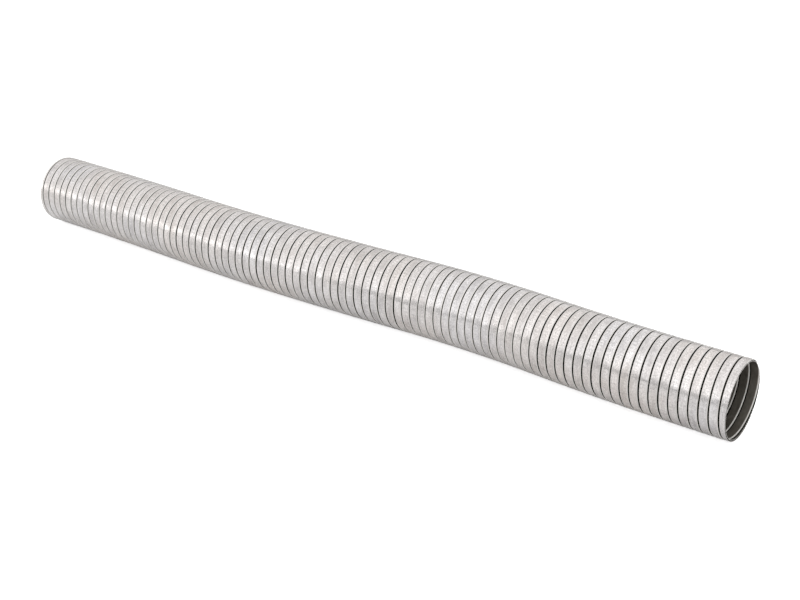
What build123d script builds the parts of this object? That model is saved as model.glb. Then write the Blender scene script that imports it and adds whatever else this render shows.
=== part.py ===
from build123d import *
import os

# Strip-wound interlocked metal hose, lying on its side in a slight S-bend.
# One continuous steel strip is folded to a locking section and wound into a helix:
# every turn's outer flange hooks over the turn after it, which leaves a narrow groove
# between the turns outside and a second one inside. Both ends are cut square.

# Driving dimensions, in mm
bore_diameter = 76.2  # inside of the inner flanges
hose_length = 914.4  # along the centre line, cut end to cut end
turn_count = 91  # turns of strip in that length
sheet = 0.4  # strip thickness
radial_play = 0.15  # room between neighbouring layers of the lock
groove_width = 1.2  # open gap between the flanges of neighbouring turns
hook_length = 3.0  # how far each flange's edge is folded back
side_bow = 7.2  # widest sideways bow of the lying hose
start_angle = 10  # degrees round the hose of the strip's web at the first end
points_per_turn = 18  # points that each wound edge passes through in one turn
stretch_turns = 12  # about how many turns of strip are built as one stretch

# Resting line: share of the length, and sideways place there as a share of side_bow
resting_line = [(0, 0), (0.12, 0), (0.33, -0.58), (0.5, 0.03), (0.68, 1), (0.87, 0.02), (1, 0)]

# Derived sizes
pitch = hose_length / turn_count
flange_width = pitch - groove_width
layer_step = sheet + radial_play
inner_flange_inside = bore_diameter / 2
inner_flange_outside = inner_flange_inside + sheet
outer_hook_inside = inner_flange_inside + layer_step
outer_hook_outside = outer_hook_inside + sheet
inner_hook_inside = inner_flange_inside + 2 * layer_step
inner_hook_outside = inner_hook_inside + sheet
outer_flange_inside = inner_flange_inside + 3 * layer_step
outer_flange_outside = outer_flange_inside + sheet
hook_tip = flange_width - hook_length
fold_face = flange_width - sheet
inner_edge = sheet - flange_width  # far fold of the inner flange
run_on = 2.6 * pitch  # strip wound past each end and then cut away

# Section of the strip, as (place along the hose, radius), round its outline
section = [
    (0, outer_flange_outside),
    (flange_width, outer_flange_outside),
    (flange_width, outer_hook_inside),
    (hook_tip, outer_hook_inside),
    (hook_tip, outer_hook_outside),
    (fold_face, outer_hook_outside),
    (fold_face, outer_flange_inside),
    (sheet, outer_flange_inside),
    (sheet, inner_flange_inside),
    (inner_edge, inner_flange_inside),
    (inner_edge, inner_hook_outside),
    (inner_edge + hook_length, inner_hook_outside),
    (inner_edge + hook_length, inner_hook_inside),
    (inner_edge + sheet, inner_hook_inside),
    (inner_edge + sheet, inner_flange_outside),
    (0, inner_flange_outside),
]

# Centre line at rest, drawn out straight past both ends
with BuildLine() as centre_line:
    lying = Spline(
        *[
            ((share - 0.5) * hose_length, place * side_bow, outer_flange_outside)
            for share, place in resting_line
        ]
    )
    Line(lying @ 0 - (lying % 0) * run_on, lying @ 0)
    Line(lying @ 1, lying @ 1 + (lying % 1) * run_on)
route = centre_line.wire()
route_turns = route.length / pitch


def strip_frame(step):
    """Frame of the strip's section: z along the hose, x outwards, turning one step at a time."""
    turns = step / points_per_turn
    share = turns / route_turns
    ahead = route.tangent_at(share)
    level = Plane(route.position_at(share), x_dir=Vector(0, 0, 1).cross(ahead), z_dir=ahead)
    return Plane(level * Rot(Z=start_angle + 360 * (turns - run_on / pitch)))


def wound_edge(place, radius, first, last):
    """The helix that one corner of the section follows from frame first to frame last."""
    near = frames[first - 1 : last + 2]
    points = [frame.from_local_coords((radius, 0, place)) for frame in near]
    end_tangents = [points[2] - points[0], points[-1] - points[-3]]
    with BuildLine() as edge_line:
        Spline(*points[1:-1], tangents=end_tangents, tangent_scalars=[1, 1])
    return edge_line.edge()


def long_faces(helices):
    """The strip's long faces on one stretch, which run between neighbouring helices."""
    around = zip(helices, helices[1:] + helices[:1])
    return [Face.make_surface_from_curves(helix, after) for helix, after in around]


# The strip is built in stretches of a few turns, and a flat face closes each end.
frames = [strip_frame(step) for step in range(int(route_turns * points_per_turn))]
wound_steps = len(frames) - 3
stretch_count = max(2, wound_steps // (stretch_turns * points_per_turn))
joints = [1 + round(k * wound_steps / stretch_count) for k in range(stretch_count + 1)]
stretches = [
    [wound_edge(place, radius, first, last) for place, radius in section]
    for first, last in zip(joints, joints[1:])
]
strip_faces = [face for helices in stretches for face in long_faces(helices)]
strip_faces.append(Face(Wire.make_polygon([helix @ 0 for helix in stretches[0]])))
strip_faces.append(Face(Wire.make_polygon([helix @ 1 for helix in stretches[-1]])))

with BuildPart() as wound_strip:
    add(Solid(Shell(strip_faces)))
    split(bisect_by=Plane(lying @ 0, z_dir=lying % 0), keep=Keep.TOP)
    split(bisect_by=Plane(lying @ 1, z_dir=lying % 1), keep=Keep.BOTTOM)

# The origin is under the middle of the hose, on what it lies on.
box = wound_strip.part.bounding_box()
wound_strip.part.position = (-box.center().X, -box.center().Y, -box.min.Z)
wound_strip.part.label = "wound_strip"

os.makedirs("parts", exist_ok=True)
export_step(wound_strip.part, "parts/wound_strip.step")
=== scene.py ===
"""Looks of a strip-wound metal hose that lies on a table in a slight S-bend.

The hose is one galvanised steel strip, folded to a locking section and wound into a helix.
This script winds the strip again with rolled folds and small unevennesses, and dresses it.
All sizes are in metres unless a name ends in _mm or its comment says millimetres.
"""

import logging
import math
from dataclasses import dataclass, field
from enum import Enum

import bmesh
import bpy
import numpy as np
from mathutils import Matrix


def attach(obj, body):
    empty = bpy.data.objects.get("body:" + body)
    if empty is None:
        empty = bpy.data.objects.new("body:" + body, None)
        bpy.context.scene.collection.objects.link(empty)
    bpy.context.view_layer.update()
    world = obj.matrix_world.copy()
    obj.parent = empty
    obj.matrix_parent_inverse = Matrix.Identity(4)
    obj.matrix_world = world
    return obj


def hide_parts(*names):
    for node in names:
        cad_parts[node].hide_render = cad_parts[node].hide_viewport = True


log = logging.getLogger("hose")

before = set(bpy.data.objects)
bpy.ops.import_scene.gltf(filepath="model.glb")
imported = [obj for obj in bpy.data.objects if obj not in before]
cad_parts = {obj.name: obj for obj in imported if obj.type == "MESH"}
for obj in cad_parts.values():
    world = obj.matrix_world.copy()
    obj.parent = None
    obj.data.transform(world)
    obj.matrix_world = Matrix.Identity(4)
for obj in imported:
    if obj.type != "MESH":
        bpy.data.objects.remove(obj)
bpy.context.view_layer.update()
MM = 0.001

# A Mix node has sockets of one name for each kind of value, so they go by their numbers.
COLOUR_A, COLOUR_B, COLOUR_OUT = 6, 7, 2
FLOAT_A, FLOAT_B, FLOAT_OUT = 2, 3, 0

# Share of a band over which the wear of its folds fades, and with it the painted highlight on the folds
# of the lock and the bore.
FOLD_WEAR_AND_HIGHLIGHT_FADE = 0.05


# ---------------------------------------------------------------- small helpers


def linear(hex_colour: str) -> tuple[float, float, float, float]:
    """Turn an sRGB hex colour into linear values.

    Args:
        hex_colour: colour as "#RRGGBB".

    Returns:
        Red, green, blue and an alpha of 1, linear.
    """
    parts = [int(hex_colour[i : i + 2], 16) / 255 for i in (1, 3, 5)]
    red, green, blue = (
        part / 12.92 if part <= 0.04045 else ((part + 0.055) / 1.055) ** 2.4 for part in parts
    )
    return (red, green, blue, 1.0)


def add_node(
    tree: bpy.types.NodeTree,
    kind: str,
    settings: dict[str, object] | None = None,
    inputs: dict[object, object] | None = None,
) -> bpy.types.Node:
    """Add a node with its settings and links.

    Args:
        tree: node tree that takes the node.
        kind: bl_idname of the node.
        settings: properties to set on the node.
        inputs: socket name or number to a value, or to the output socket that feeds it.

    Returns:
        The new node.
    """
    node = tree.nodes.new(kind)
    for name, value in (settings or {}).items():
        setattr(node, name, value)
    for key, value in (inputs or {}).items():
        if isinstance(value, bpy.types.NodeSocket):
            tree.links.new(value, node.inputs[key])
        else:
            node.inputs[key].default_value = value
    return node


def worn_and_highlit_folds(tree: bpy.types.NodeTree) -> bpy.types.NodeSocket:
    """Find where the strip's folds are worn bright; the lock and the bore paint them pale there, partly
    as a painted highlight.

    Args:
        tree: node tree that takes the nodes.

    Returns:
        Socket that is 1 on the folds, fades over about half a millimetre of a band, and is 0 elsewhere.
    """
    marks = add_node(tree, "ShaderNodeUVMap", {"uv_map": "marks"}).outputs["UV"]
    side = add_node(tree, "ShaderNodeSeparateXYZ", None, {"Vector": marks}).outputs["X"]
    side = add_node(tree, "ShaderNodeMath", {"operation": "SUBTRACT"}, {0: side, 1: 0.5}).outputs[0]
    side = add_node(tree, "ShaderNodeMath", {"operation": "ABSOLUTE"}, {0: side}).outputs[0]
    return add_node(
        tree,
        "ShaderNodeMapRange",
        {"clamp": True},
        {"Value": side, "From Min": 0.5 - FOLD_WEAR_AND_HIGHLIGHT_FADE, "From Max": 0.5},
    ).outputs["Result"]


class Face(Enum):
    """Which finish a face of the strip takes; the value is its material slot's number."""

    OUTSIDE = 0
    LOCK = 1
    BORE = 2
    CUT = 3


# ---------------------------------------------------------------- finishes


@dataclass(frozen=True)
class StripPattern:
    """A cloudy or streaky pattern, laid on the strip as if it were flat.

    Attributes:
        size_mm: size of one of its patches.
        detail: how many finer layers it has.
        roughness: how strongly the finer layers show.
        density: patches in that size, along and across the strip.
        start: where it starts on the strip, in patches.
        slant: how far it is turned on the strip, in degrees.
        span: the noise's darkest and palest values that count.
        tones: what it multiplies the colour by where it is darkest and palest.
        relief: strength of its bump, and the bump's height in mm.
    """

    size_mm: float
    detail: float
    roughness: float
    density: tuple[float, float] = (1.0, 1.0)
    start: tuple[float, float] = (0.0, 0.0)
    slant: float = 0.0
    span: tuple[float, float] = (0.3, 0.7)
    tones: tuple[float, float] = (1.0, 1.0)
    relief: tuple[float, float] = (0.0, 0.0)

    def lay(
        self, tree: bpy.types.NodeTree, strip: bpy.types.NodeSocket
    ) -> bpy.types.NodeSocket:
        """Lay the pattern on the strip.

        Args:
            tree: node tree that takes the nodes.
            strip: socket with the place on the flat strip, in metres.

        Returns:
            Socket with the pattern's plain noise.
        """
        along, across = (share / (self.size_mm * MM) for share in self.density)
        place = add_node(
            tree,
            "ShaderNodeMapping",
            None,
            {
                "Vector": strip,
                "Location": (*self.start, 0),
                "Rotation": (0, 0, math.radians(self.slant)),
                "Scale": (along, across, 1),
            },
        ).outputs["Vector"]
        return add_node(
            tree,
            "ShaderNodeTexNoise",
            {"noise_dimensions": "2D"},
            {"Vector": place, "Scale": 1.0, "Detail": self.detail, "Roughness": self.roughness},
        ).outputs["Fac"]

    def spread(
        self,
        tree: bpy.types.NodeTree,
        noise: bpy.types.NodeSocket,
        ends: tuple[float, float] = (0.0, 1.0),
    ) -> bpy.types.NodeSocket:
        """Spread the pattern's span of noise over other values.

        Args:
            tree: node tree that takes the node.
            noise: the pattern's plain noise.
            ends: values that the span's two ends turn into.

        Returns:
            Socket with the new values.
        """
        inputs = {"Value": noise, "From Min": self.span[0], "From Max": self.span[1]}
        inputs |= {"To Min": ends[0], "To Max": ends[1]}
        return add_node(tree, "ShaderNodeMapRange", {"clamp": True}, inputs).outputs["Result"]


@dataclass(frozen=True)
class StripFinish:
    """What every finish of the strip shares: its name, and how its material is put together."""

    name: str

    def shade(
        self,
        tree: bpy.types.NodeTree,
        strip: bpy.types.NodeSocket,
        worn: bpy.types.NodeSocket,
    ) -> bpy.types.Node:
        """Make the finish's own shader.

        Args:
            tree: node tree that takes the nodes.
            strip: socket with the place on the flat strip, in metres.
            worn: socket that is 1 on the worn folds.

        Returns:
            The shader's node.
        """
        raise NotImplementedError

    def build(self) -> bpy.types.Material:
        """Build the material.

        Returns:
            The finished material.
        """
        material = bpy.data.materials.new(self.name)
        material.use_nodes = True
        tree = material.node_tree
        tree.nodes.clear()
        strip = add_node(tree, "ShaderNodeUVMap", {"uv_map": "strip"}).outputs["UV"]
        shader = self.shade(tree, strip, worn_and_highlit_folds(tree))
        add_node(tree, "ShaderNodeOutputMaterial", None, {"Surface": shader.outputs["BSDF"]})
        return material


@dataclass(frozen=True)
class GalvanisedSheet(StripFinish):
    """Hot-dip galvanised steel strip, cold rolled: a satin zinc skin over steel.

    Zinc is a grey metal with a hue that drifts a little from warm to cool with its thin oxide.
    The rolls leave fine lines along the strip, and folding leaves the surface cloudy and a
    little uneven, so reflections break up from turn to turn.
    """

    name: str = "galvanised_steel_outside"
    zinc_pale: str = "#FAF6F4"
    zinc_dull: str = "#CBC6C3"
    warm: str = "#F2E7E0"
    cool: str = "#E6E6EC"
    tint_mm: float = 70.0  # size of the patches of warmer and cooler grey
    tint_start: tuple[float, float, float] = (3.1, 7.7, 0.0)
    tint_span: tuple[float, float] = (0.36, 0.64)
    tint_share: float = 0.3
    dull_roughness: float = 0.31  # where the zinc is clouded
    pale_roughness: float = 0.17
    worn_colour: str = "#E6E3E0"
    worn_roughness: float = 0.24
    # Clouds in the zinc, drawn out along the strip by the rolls.
    clouds: StripPattern = StripPattern(13.0, 4.0, 0.62, density=(0.5, 1.0))
    # Roll lines along the strip: real ones are under 0.1 mm, drawn coarser so that they show.
    roll_lines: StripPattern = StripPattern(
        0.9, 3.0, 0.6, density=(0.05, 1.0), tones=(0.92, 1.07), relief=(0.5, 0.02)
    )
    # Faint slanting scuffs from handling the coil of strip.
    scuffs: StripPattern = StripPattern(
        2.0, 2.0, 0.7, density=(1.0, 0.12), slant=58.0, tones=(0.93, 1.06)
    )
    # Small pale and dull specks, the grain of the zinc skin after rolling.
    grain: StripPattern = StripPattern(
        1.5, 3.0, 0.6, density=(0.7, 1.0), start=(5.7, 1.3), tones=(0.85, 1.14), relief=(0.6, 0.06)
    )
    # Shallow dents that break the reflection from turn to turn.
    dents: StripPattern = StripPattern(
        20.0, 2.0, 0.45, density=(1.0, 0.5), start=(11.3, 2.9), relief=(1.0, 0.64)
    )

    def tint(self, tree: bpy.types.NodeTree) -> bpy.types.NodeSocket:
        """Drift slowly from a warm to a cool grey, over several turns at a time.

        Args:
            tree: node tree that takes the nodes.

        Returns:
            Socket with the grey.
        """
        whole = add_node(tree, "ShaderNodeTexCoord").outputs["Object"]
        place = add_node(
            tree,
            "ShaderNodeMapping",
            None,
            {
                "Vector": whole,
                "Location": self.tint_start,
                "Scale": (1 / (self.tint_mm * MM),) * 3,
            },
        ).outputs["Vector"]
        noise = add_node(
            tree, "ShaderNodeTexNoise", None, {"Vector": place, "Scale": 1.0, "Detail": 2.0}
        ).outputs["Fac"]
        share = add_node(
            tree,
            "ShaderNodeMapRange",
            {"clamp": True},
            {"Value": noise, "From Min": self.tint_span[0], "From Max": self.tint_span[1]},
        ).outputs["Result"]
        return add_node(
            tree,
            "ShaderNodeMix",
            {"data_type": "RGBA"},
            {"Factor": share, COLOUR_A: linear(self.warm), COLOUR_B: linear(self.cool)},
        ).outputs[COLOUR_OUT]

    def shade(
        self,
        tree: bpy.types.NodeTree,
        strip: bpy.types.NodeSocket,
        worn: bpy.types.NodeSocket,
    ) -> bpy.types.Node:
        """Make the zinc's shader.

        Args:
            tree: node tree that takes the nodes.
            strip: socket with the place on the flat strip, in metres.
            worn: socket that is 1 on the worn folds.

        Returns:
            The shader's node.
        """
        cloud = self.clouds.spread(tree, self.clouds.lay(tree, strip))
        dent = (self.dents, self.dents.lay(tree, strip))
        marks = [
            (pattern, pattern.lay(tree, strip))
            for pattern in (self.roll_lines, self.scuffs, self.grain)
        ]

        # Colour: clouds between dull and pale zinc, tinted and marked, with burnished folds.
        grey = add_node(
            tree,
            "ShaderNodeMix",
            {"data_type": "RGBA"},
            {"Factor": cloud, COLOUR_A: linear(self.zinc_dull), COLOUR_B: linear(self.zinc_pale)},
        ).outputs[COLOUR_OUT]
        grey = add_node(
            tree,
            "ShaderNodeMix",
            {"data_type": "RGBA"},
            {"Factor": self.tint_share, COLOUR_A: grey, COLOUR_B: self.tint(tree)},
        ).outputs[COLOUR_OUT]
        for pattern, noise in marks:
            tone = pattern.spread(tree, noise, pattern.tones)
            grey = add_node(
                tree, "ShaderNodeVectorMath", {"operation": "SCALE"}, {0: grey, "Scale": tone}
            ).outputs["Vector"]
        colour = add_node(
            tree,
            "ShaderNodeMix",
            {"data_type": "RGBA"},
            {"Factor": worn, COLOUR_A: grey, COLOUR_B: linear(self.worn_colour)},
        ).outputs[COLOUR_OUT]

        # Roughness: duller where the zinc is clouded, and the same all along the worn folds.
        rough = add_node(
            tree,
            "ShaderNodeMapRange",
            {"clamp": True},
            {"Value": cloud, "To Min": self.dull_roughness, "To Max": self.pale_roughness},
        ).outputs["Result"]
        rough = add_node(
            tree,
            "ShaderNodeMapRange",
            {"clamp": True},
            {"Value": worn, "To Min": rough, "To Max": self.worn_roughness},
        ).outputs["Result"]

        # Bump: the dents, then the marks that can be felt.
        bump = {}
        for pattern, noise in (dent, *marks):
            strength, height_mm = pattern.relief
            if strength:
                inputs = {"Strength": strength, "Distance": height_mm * MM, "Height": noise}
                bump["Normal"] = add_node(
                    tree, "ShaderNodeBump", None, inputs | bump
                ).outputs["Normal"]
        return add_node(
            tree,
            "ShaderNodeBsdfPrincipled",
            None,
            {"Base Color": colour, "Metallic": 1.0, "Roughness": rough, **bump},
        )


@dataclass(frozen=True)
class DullSteel(StripFinish):
    """Galvanised steel that is never wiped or rubbed, as in the bore and inside the lock.

    Dust and drawing oil sit on the zinc in patches, so it is browner and far less shiny. Its dark
    colours in the lock and the bore are mostly painted shade, for the little light that reaches
    into the groove and the tube. Its worn folds are painted pale and less metallic: partly wear,
    partly a painted highlight for the open end's light caught in the bore's folds.
    """

    pale_patch: str
    dark_patch: str
    roughness: float = 0.55
    roughness_swing: float = 0.08  # smoother where clean, rougher where soiled
    metallic: float = 1.0
    # Pale, less metallic worn folds: partly wear, and in the lock and the bore partly a painted
    # highlight for the open end's light caught in the folds.
    worn_colour: str = "#F4F1EC"
    worn_roughness: float = 0.3
    worn_metallic: float = 0.3
    # Patches of dust and oil, drawn out along the strip.
    dirt: StripPattern = StripPattern(
        18.0, 4.0, 0.65, density=(0.5, 1.0), span=(0.32, 0.68), relief=(0.6, 0.05)
    )

    def shade(
        self,
        tree: bpy.types.NodeTree,
        strip: bpy.types.NodeSocket,
        worn: bpy.types.NodeSocket,
    ) -> bpy.types.Node:
        """Make the dull steel's shader.

        Args:
            tree: node tree that takes the nodes.
            strip: socket with the place on the flat strip, in metres.
            worn: socket that is 1 on the worn folds, which this finish paints pale: partly wear, partly
                painted highlight.

        Returns:
            The shader's node.
        """
        noise = self.dirt.lay(tree, strip)
        dirt = self.dirt.spread(tree, noise)
        # Patches of dust and oil between the two given colours, which in the lock and the bore are also
        # dark as painted shade.
        colour = add_node(
            tree,
            "ShaderNodeMix",
            {"data_type": "RGBA"},
            {"Factor": dirt, COLOUR_A: linear(self.pale_patch), COLOUR_B: linear(self.dark_patch)},
        ).outputs[COLOUR_OUT]
        # The worn folds are painted pale: partly wear, partly a painted highlight.
        colour = add_node(
            tree,
            "ShaderNodeMix",
            {"data_type": "RGBA"},
            {"Factor": worn, COLOUR_A: colour, COLOUR_B: linear(self.worn_colour)},
        ).outputs[COLOUR_OUT]
        rough = add_node(
            tree,
            "ShaderNodeMapRange",
            {"clamp": True},
            {
                "Value": dirt,
                "To Min": self.roughness - self.roughness_swing,
                "To Max": self.roughness + self.roughness_swing,
            },
        ).outputs["Result"]
        rough = add_node(
            tree,
            "ShaderNodeMapRange",
            {"clamp": True},
            {"Value": worn, "To Min": rough, "To Max": self.worn_roughness},
        ).outputs["Result"]
        metallic = add_node(
            tree,
            "ShaderNodeMapRange",
            {"clamp": True},
            {"Value": worn, "To Min": self.metallic, "To Max": self.worn_metallic},
        ).outputs["Result"]
        strength, height_mm = self.dirt.relief
        bump = add_node(
            tree,
            "ShaderNodeBump",
            None,
            {"Strength": strength, "Distance": height_mm * MM, "Height": noise},
        ).outputs["Normal"]
        return add_node(
            tree,
            "ShaderNodeBsdfPrincipled",
            None,
            {"Base Color": colour, "Metallic": metallic, "Roughness": rough, "Normal": bump},
        )


# ---------------------------------------------------------------- the hose


@dataclass
class RestingLine:
    """The hose's centre line as it lies: a gentle S in plan, level with its radius."""

    length: float = 0.9144
    side_bow: float = 0.0072
    height: float = 0.04015
    shift: tuple[float, float] = (-0.00042, -0.00152)
    # Share of the length, and sideways place there as a share of side_bow.
    places: tuple[tuple[float, float], ...] = (
        (0, 0),
        (0.12, 0.15),
        (0.33, -0.8),
        (0.5, -0.05),
        (0.68, 1.41),
        (0.87, -0.27),
        (1, 0),
    )

    def points(self) -> np.ndarray:
        """Read the line from its own NURBS curve.

        Returns:
            Points along the line, one row each.
        """
        data = bpy.data.curves.new("resting_line", "CURVE")
        data.dimensions = "3D"
        spline = data.splines.new("NURBS")
        spline.points.add(len(self.places) - 1)
        for point, (share, place) in zip(spline.points, self.places):
            x = (share - 0.5) * self.length + self.shift[0]
            y = place * self.side_bow + self.shift[1]
            point.co = (x, y, self.height, 1)
        spline.order_u = 3
        spline.use_endpoint_u = True
        spline.resolution_u = 48
        carrier = bpy.data.objects.new("resting_line", data)
        line = bpy.data.meshes.new_from_object(carrier)
        found = np.array([vertex.co[:] for vertex in line.vertices])
        bpy.data.objects.remove(carrier)
        bpy.data.curves.remove(data)
        bpy.data.meshes.remove(line)
        return found


@dataclass
class Corner:
    """One corner of the strip's section, rolled to a radius.

    Attributes:
        along: place along the hose from the turn's web, in mm.
        radius: distance from the hose's axis, in mm.
        fold: rolled radius in mm, 0 for a sharp corner.
        steps: points in the rolled corner.
        face: finish of the face that follows the corner.
        side: 0 or 1 on a worn fold, which the lock and the bore also paint pale as a highlight; 0.5
            where nothing is worn.
    """

    along: float
    radius: float
    fold: float = 0.0
    steps: int = 1
    face: Face = Face.LOCK
    side: float = 0.5


@dataclass
class WoundStrip:
    """The hose: one folded strip, wound into a right-handed helix and cut square."""

    bore_mm: float = 76.2
    sheet_mm: float = 0.4
    play_mm: float = 0.15
    groove_mm: float = 1.4
    hook_mm: float = 3.0
    fold_mm: float = 0.9  # rolled radius of the outer folds
    bore_fold_mm: float = 0.7  # and of the bore's worn fold, on the near side of each turn
    bore_back_fold_mm: float = 0.4  # and of the one on its far side
    widest_fold: float = 0.45  # most of a short side that a fold may take
    turns: float = 91.05
    start_angle: float = 10.0  # degrees round the hose at the first cut end
    steps_per_turn: int = 42
    spare_turns: float = 0.06  # wound past each end, over what the section needs, and cut away
    # Unevennesses: how large they are in mm, and how many turns lie between two of them.
    wander: tuple[float, float] = (0.13, 0.37)  # a turn strays along the hose
    swell: tuple[float, float] = (0.045, 0.31)  # its radius strays
    tilt: tuple[float, float] = (0.07, 0.43)  # one edge of its outer flange rises over the other
    skin_mm: float = 1.9  # height over the bore from which the tilt acts
    proud_mm: float = 0.03  # most that anything stands out past the plain section
    sharp_angle: float = 50.0  # degrees between two faces from which their edge stays crisp
    flat_weight: int = 80  # how far the wide bands lead the shading over the small faces
    seed: int = 7
    finishes: tuple[StripFinish, ...] = field(
        default_factory=lambda: (
            GalvanisedSheet(),
            # The lock's near-black colours are painted shade: the shade deep in the groove and inside
            # the lock, with patches of dust and oil between them.
            DullSteel("galvanised_steel_lock", "#2E2C29", "#1D1B19", 0.65),
            # The bore's dark colours are mostly painted shade, for the little light inside the tube;
            # between them lie patches of dust and oil.
            DullSteel("galvanised_steel_bore", "#8B867E", "#5A554D", 0.5, metallic=0.7),
            DullSteel("sheared_steel_edge", "#C9C5BF", "#8F8A83", 0.45),
        )
    )

    def corners(self, pitch_mm: float) -> list[Corner]:
        """List the section's corners, round its outline.

        Args:
            pitch_mm: how far one turn moves along the hose.

        Returns:
            The corners, from the web's outer corner along the outer flange.
        """
        sheet, fold = self.sheet_mm, self.fold_mm
        width = pitch_mm - self.groove_mm
        step = sheet + self.play_mm
        inside = self.bore_mm / 2
        outside = inside + 3 * step + sheet
        far = sheet - width
        return [
            Corner(0, outside, fold, 3, Face.OUTSIDE, 0.0),
            Corner(width, outside, fold, 3, Face.LOCK, 1.0),
            Corner(width, inside + step, fold, 2),
            Corner(width - self.hook_mm, inside + step + sheet / 2),
            Corner(width - sheet, inside + step + sheet),
            Corner(width - sheet, outside - sheet),
            Corner(sheet, outside - sheet, face=Face.BORE),
            Corner(sheet, inside, self.bore_fold_mm, 3, Face.BORE, 1.0),
            Corner(far, inside, self.bore_back_fold_mm, 3, Face.BORE),
            Corner(far, inside + 2 * step + sheet, fold, 2),
            Corner(far + self.hook_mm, inside + 2 * step + sheet / 2),
            Corner(far + sheet, inside + 2 * step),
            Corner(far + sheet, inside + sheet),
            Corner(0, inside + sheet),
        ]

    def outline(self, pitch_mm: float) -> tuple[np.ndarray, list[Face], np.ndarray]:
        """Draw the section with its folds rolled.

        Args:
            pitch_mm: how far one turn moves along the hose.

        Returns:
            Points (along, radius) in mm, the finish after each, and the worn side that each is on.
        """
        corners = self.corners(pitch_mm)
        points, faces, sides = [], [], []
        for corner, before, after in zip(corners, corners[-1:] + corners, corners[1:] + corners[:1]):
            here = np.array([corner.along, corner.radius])
            if not corner.fold:
                points.append(here)
                faces.append(corner.face)
                sides.append(corner.side)
                continue
            back = np.array([before.along, before.radius]) - here
            ahead = np.array([after.along, after.radius]) - here
            room = self.widest_fold * min(np.linalg.norm(back), np.linalg.norm(ahead))
            reach = min(corner.fold, room)
            start = here + back / np.linalg.norm(back) * reach
            end = here + ahead / np.linalg.norm(ahead) * reach
            heart = start + end - here
            for k in range(corner.steps):
                turn = k / (corner.steps - 1) * math.pi / 2
                points.append(
                    heart + (start - heart) * math.cos(turn) + (end - heart) * math.sin(turn)
                )
                # The first half of a wide fold still has the finish of the face before it.
                faces.append(before.face if k < (corner.steps - 1) // 2 else corner.face)
                sides.append(corner.side)
        return np.array(points), faces, np.array(sides)

    @staticmethod
    def drift(
        rng: np.random.Generator, turns: np.ndarray, unevenness: tuple[float, float]
    ) -> np.ndarray:
        """Make a smooth random unevenness along the strip.

        Args:
            rng: seeded source.
            turns: where it is wanted, in turns.
            unevenness: its size in mm, and the spacing of its knots in turns.

        Returns:
            Values from about minus its size to its size, in metres.
        """
        size_mm, every = unevenness
        low, high = turns.min() - 2 * every, turns.max() + 2 * every
        knots = np.arange(low, high + every, every)
        values = rng.uniform(-1, 1, len(knots))
        place = (turns - low) / every
        whole = np.clip(place.astype(int), 0, len(knots) - 2)
        part = place - whole
        part = part * part * (3 - 2 * part)
        return (values[whole] * (1 - part) + values[whole + 1] * part) * size_mm * MM

    def wind(self, line: np.ndarray) -> bpy.types.Mesh:
        """Wind the section along the line and cut both ends square.

        Args:
            line: points along the centre line.

        Returns:
            The strip's mesh, with its finishes' slot numbers and two UV maps.
        """
        spans = np.linalg.norm(np.diff(line, axis=0), axis=1)
        at = np.concatenate([[0.0], np.cumsum(spans)])
        length = at[-1]
        pitch = length / self.turns
        outline, faces, sides = self.outline(pitch / MM)
        past = 1 - self.groove_mm * MM / pitch + self.spare_turns
        count = int(round((self.turns + 2 * past) * self.steps_per_turn)) + 1
        turns = np.linspace(-past, self.turns + past, count)
        rng = np.random.default_rng(self.seed)
        wander = self.drift(rng, turns, self.wander)
        swell = self.drift(rng, turns, self.swell)
        tilt = self.drift(rng, turns, self.tilt)

        # Level frames along the line, drawn out straight past its ends.
        step = np.gradient(line, at, axis=0)
        along = turns * pitch
        inside = np.clip(along, 0, length)
        ahead = np.stack([np.interp(inside, at, step[:, i]) for i in range(3)], axis=1)
        ahead /= np.linalg.norm(ahead, axis=1)[:, None]
        centre = np.stack([np.interp(inside, at, line[:, i]) for i in range(3)], axis=1)
        centre += ahead * (along - inside)[:, None]
        side = np.cross(np.array([0.0, 0.0, 1.0]), ahead)
        side /= np.linalg.norm(side, axis=1)[:, None]
        up = np.cross(ahead, side)
        angle = np.radians(self.start_angle) + 2 * np.pi * turns
        out = side * np.cos(angle)[:, None] + up * np.sin(angle)[:, None]

        # Each section point's place: the outer flange tilts a little about its middle.
        width = pitch / MM - self.groove_mm
        outer = (outline[:, 1] > self.bore_mm / 2 + self.skin_mm).astype(float)
        lean = outer * (outline[:, 0] / width - 0.5) * 2
        place = outline[:, 0][None, :] * MM + wander[:, None]
        radius = outline[:, 1][None, :] * MM + swell[:, None] + tilt[:, None] * lean[None, :]
        radius = np.minimum(radius, (outline[:, 1].max() + self.proud_mm) * MM)
        points = (
            centre[:, None, :]
            + ahead[:, None, :] * place[:, :, None]
            + out[:, None, :] * radius[:, :, None]
        )

        across = np.concatenate([[0.0], np.cumsum(np.linalg.norm(np.diff(outline, axis=0), axis=1))])
        closing = np.linalg.norm(outline[0] - outline[-1])
        lengthwise = turns * 2 * np.pi * (self.bore_mm / 2 + 1) * MM

        mesh = self.skin(points, faces)
        self.chart(mesh, lengthwise, across * MM, closing * MM, sides)
        self.cut(mesh, line[0], line[0] - line[1])
        self.cut(mesh, line[-1], line[-1] - line[-2])
        return mesh

    @staticmethod
    def skin(points: np.ndarray, faces: list[Face]) -> bpy.types.Mesh:
        """Join the wound sections' points with faces.

        Args:
            points: sections by points by three.
            faces: finish after each section point.

        Returns:
            The strip's mesh, open at its two ends.
        """
        rows, columns = points.shape[:2]
        row = np.arange(rows - 1)[:, None]
        column = np.arange(columns)[None, :]
        after = (column + 1) % columns
        quads = np.stack(
            [
                row * columns + column,
                row * columns + after,
                (row + 1) * columns + after,
                (row + 1) * columns + column,
            ],
            axis=2,
        ).reshape(-1, 4)
        mesh = bpy.data.meshes.new("wound_strip_rolled")
        mesh.from_pydata(points.reshape(-1, 3).tolist(), [], quads.tolist())
        slots = np.tile(np.array([face.value for face in faces]), rows - 1)
        mesh.polygons.foreach_set("material_index", slots.astype(np.int32))
        return mesh

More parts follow.
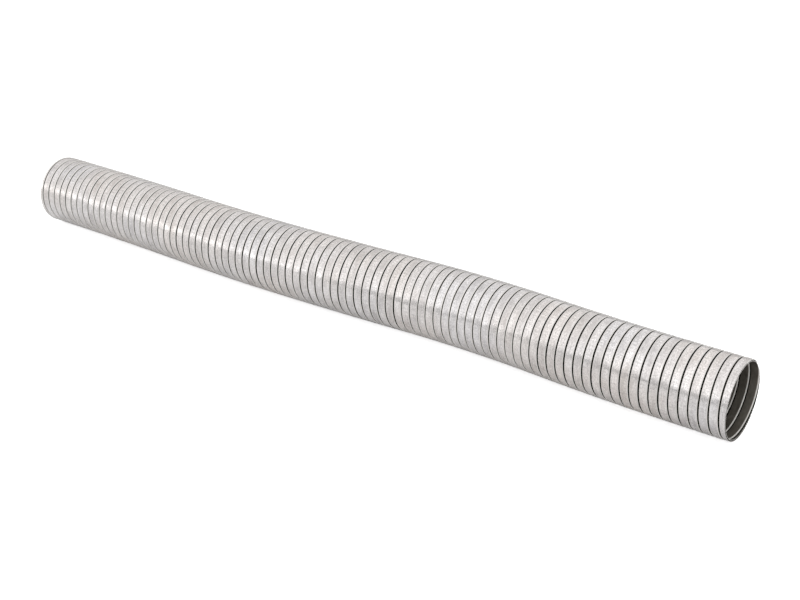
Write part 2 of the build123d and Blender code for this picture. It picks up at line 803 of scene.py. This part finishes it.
    @staticmethod
    def chart(
        mesh: bpy.types.Mesh,
        lengthwise: np.ndarray,
        across: np.ndarray,
        closing: float,
        sides: np.ndarray,
    ) -> None:
        """Give the mesh its two UV maps.

        Args:
            mesh: the wound strip before it is cut.
            lengthwise: place along the flat strip at each section.
            across: place round the outline at each section point.
            closing: width of the outline's last side.
            sides: worn side that each section point is on.
        """
        rows, columns = len(lengthwise), len(across)
        strip = np.zeros((rows - 1, columns, 4, 2))
        marks = np.zeros((rows - 1, columns, 4, 2))
        last = np.append(across[1:], across[-1] + closing)
        side_next = np.roll(sides, -1)
        for corner, (ahead, turn) in enumerate(((0, 0), (0, 1), (1, 1), (1, 0))):
            start = lengthwise[ahead : rows - 1 + ahead]
            strip[:, :, corner, 0] = start[:, None]
            strip[:, :, corner, 1] = (last if turn else across)[None, :]
            marks[:, :, corner, 0] = (side_next if turn else sides)[None, :]
        for name, values in (("strip", strip), ("marks", marks)):
            layer = mesh.uv_layers.new(name=name)
            layer.data.foreach_set("uv", values.reshape(-1))

    @staticmethod
    def cut(mesh: bpy.types.Mesh, where: np.ndarray, outwards: np.ndarray) -> None:
        """Cut the strip off square and close the cut sheet.

        Args:
            mesh: the wound strip.
            where: point on the cutting plane.
            outwards: direction of what is cut away.
        """
        work = bmesh.new()
        work.from_mesh(mesh)
        done = bmesh.ops.bisect_plane(
            work,
            geom=work.verts[:] + work.edges[:] + work.faces[:],
            dist=1e-7,
            plane_co=where,
            plane_no=outwards,
            clear_outer=True,
        )
        rim = [e for e in done["geom_cut"] if isinstance(e, bmesh.types.BMEdge) and e.is_valid]
        made = bmesh.ops.triangle_fill(
            work, use_beauty=True, use_dissolve=False, edges=rim, normal=outwards
        )
        for item in made["geom"]:
            if isinstance(item, bmesh.types.BMFace):
                item.material_index = Face.CUT.value
        loose = [v for v in work.verts if not v.link_faces]
        bmesh.ops.delete(work, geom=loose, context="VERTS")
        work.to_mesh(mesh)
        work.free()

    def build(self, line: np.ndarray) -> bpy.types.Object:
        """Build, dress and place the hose.

        Args:
            line: points along the centre line.

        Returns:
            The hose's object.
        """
        mesh = self.wind(line)
        mesh.validate()
        for finish in self.finishes:
            mesh.materials.append(finish.build())
        mesh.polygons.foreach_set("use_smooth", [True] * len(mesh.polygons))
        mesh.set_sharp_from_angle(angle=math.radians(self.sharp_angle))
        mesh.update()
        hose = bpy.data.objects.new("wound_strip_rolled", mesh)
        bpy.context.scene.collection.objects.link(hose)
        shade = hose.modifiers.new("flat_bands", "WEIGHTED_NORMAL")
        shade.keep_sharp = True
        shade.weight = self.flat_weight
        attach(hose, "root")
        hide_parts("wound_strip")
        return hose


# ---------------------------------------------------------------- the studio


@dataclass
class Studio:
    """A white table in a bright room, the light and the camera."""

    camera_at: tuple[float, float, float] = (0.8792, -1.1248, 0.7047)
    heading: float = 35.95  # degrees that the camera is turned to the left of +Y
    pitch_down: float = 25.86
    lens_mm: float = 64.67
    # The room's brightness in front of the hose and behind it, and where it changes over.
    front_to_back: tuple[float, float] = (1.12, 0.84)
    front_to_back_at: tuple[float, float] = (-0.9, 0.8)
    # Share of that brightness on the left and on the right, and where it changes over.
    left_to_right: tuple[float, float] = (0.85, 1.07)
    left_to_right_at: tuple[float, float] = (-0.75, -0.25)
    low_wall: float = 0.42  # brightness below the dome
    dome_edge: tuple[float, float] = (0.1, 0.25)
    floor_hex: str = "#EAEAEA"
    floor_glow: float = 0.72
    floor_size: float = 8.0
    floor_gap: float = 0.0004  # keeps the floor clear of the lowest turns
    lamp_size: tuple[float, float] = (1.8, 0.5)
    lamp_watts: float = 2.4
    lamp_at: tuple[float, float, float] = (-1.9, -1.7, 0.36)
    lamp_turned: tuple[float, float, float] = (83.0, 0.0, -48.0)  # degrees

    def add_camera(self) -> None:
        """Place the camera."""
        data = bpy.data.cameras.new("camera")
        data.lens = self.lens_mm
        data.sensor_width = 36.0
        data.clip_start = 0.05
        camera = bpy.data.objects.new("camera", data)
        camera.location = self.camera_at
        camera.rotation_euler = (
            math.radians(90 - self.pitch_down),
            0,
            math.radians(self.heading),
        )
        bpy.context.scene.collection.objects.link(camera)
        bpy.context.scene.camera = camera
        log.info("camera: %.1f mm lens", self.lens_mm)

    def add_world(self) -> None:
        """Light the room with a dome, brightest in front, that ends above the table's edge."""
        world = bpy.data.worlds.new("studio")
        bpy.context.scene.world = world
        world.use_nodes = True
        tree = world.node_tree
        tree.nodes.clear()
        look = add_node(tree, "ShaderNodeTexCoord").outputs["Generated"]
        way = add_node(tree, "ShaderNodeSeparateXYZ", None, {"Vector": look}).outputs
        dome, share = (
            add_node(
                tree,
                "ShaderNodeMapRange",
                {"clamp": True},
                {
                    "Value": way[axis],
                    "From Min": places[0],
                    "From Max": places[1],
                    "To Min": levels[0],
                    "To Max": levels[1],
                },
            ).outputs["Result"]
            for axis, places, levels in (
                ("Y", self.front_to_back_at, self.front_to_back),
                ("X", self.left_to_right_at, self.left_to_right),
            )
        )
        dome = add_node(
            tree, "ShaderNodeMath", {"operation": "MULTIPLY"}, {0: dome, 1: share}
        ).outputs[0]
        level = add_node(
            tree,
            "ShaderNodeMapRange",
            {"clamp": True},
            {
                "Value": way["Z"],
                "From Min": self.dome_edge[0],
                "From Max": self.dome_edge[1],
                "To Min": self.low_wall,
                "To Max": dome,
            },
        ).outputs["Result"]
        seen = add_node(tree, "ShaderNodeLightPath").outputs["Is Camera Ray"]
        level = add_node(
            tree,
            "ShaderNodeMix",
            {"data_type": "FLOAT"},
            {"Factor": seen, FLOAT_A: level, FLOAT_B: 1.0},
        ).outputs[FLOAT_OUT]
        glow = add_node(
            tree, "ShaderNodeBackground", None, {"Color": (1, 1, 1, 1), "Strength": level}
        )
        add_node(tree, "ShaderNodeOutputWorld", None, {"Surface": glow.outputs["Background"]})
        log.info("world: dome %.2f in front, %.2f behind", *self.front_to_back)

    def add_floor(self) -> None:
        """Lay the pale table top, white to the camera except for the hose's shadow."""
        half = self.floor_size / 2
        mesh = bpy.data.meshes.new("table_top")
        corners = [(-half, -half, 0), (half, -half, 0), (half, half, 0), (-half, half, 0)]
        mesh.from_pydata(corners, [], [(0, 1, 2, 3)])
        top = bpy.data.objects.new("table_top", mesh)
        top.location = (0, 0, -self.floor_gap)
        bpy.context.scene.collection.objects.link(top)
        # Matt white laminate: an even pale surface with no sheen.
        material = bpy.data.materials.new("matt_white_laminate")
        material.use_nodes = True
        tree = material.node_tree
        tree.nodes.clear()
        seen = add_node(tree, "ShaderNodeLightPath").outputs["Is Camera Ray"]
        glow = add_node(
            tree,
            "ShaderNodeMath",
            {"operation": "MULTIPLY"},
            {0: seen, 1: self.floor_glow},
        ).outputs[0]
        shader = add_node(
            tree,
            "ShaderNodeBsdfPrincipled",
            None,
            {
                "Base Color": linear(self.floor_hex),
                "Roughness": 0.9,
                "Emission Color": (1, 1, 1, 1),
                "Emission Strength": glow,
            },
        )
        add_node(tree, "ShaderNodeOutputMaterial", None, {"Surface": shader.outputs["BSDF"]})
        mesh.materials.append(material)
        log.info("floor: %.0f m", self.floor_size)

    def add_lamp(self) -> None:
        """Stand one soft lamp low on the left, in front of the hose."""
        data = bpy.data.lights.new("low_softbox", "AREA")
        data.shape = "RECTANGLE"
        data.size, data.size_y = self.lamp_size
        data.energy = self.lamp_watts
        lamp = bpy.data.objects.new("low_softbox", data)
        lamp.location = self.lamp_at
        lamp.rotation_euler = [math.radians(turn) for turn in self.lamp_turned]
        bpy.context.scene.collection.objects.link(lamp)
        log.info("lamp: %s", lamp.name)


def main() -> None:
    """Build the scene in order."""
    logging.basicConfig(level=logging.INFO, format="%(name)s %(message)s")
    bpy.context.scene.view_settings.view_transform = "Standard"
    studio = Studio()
    studio.add_camera()
    line = RestingLine().points()
    WoundStrip().build(line)
    studio.add_floor()
    studio.add_world()
    studio.add_lamp()
    bpy.context.view_layer.update()


if __name__ == "__main__":
    main()
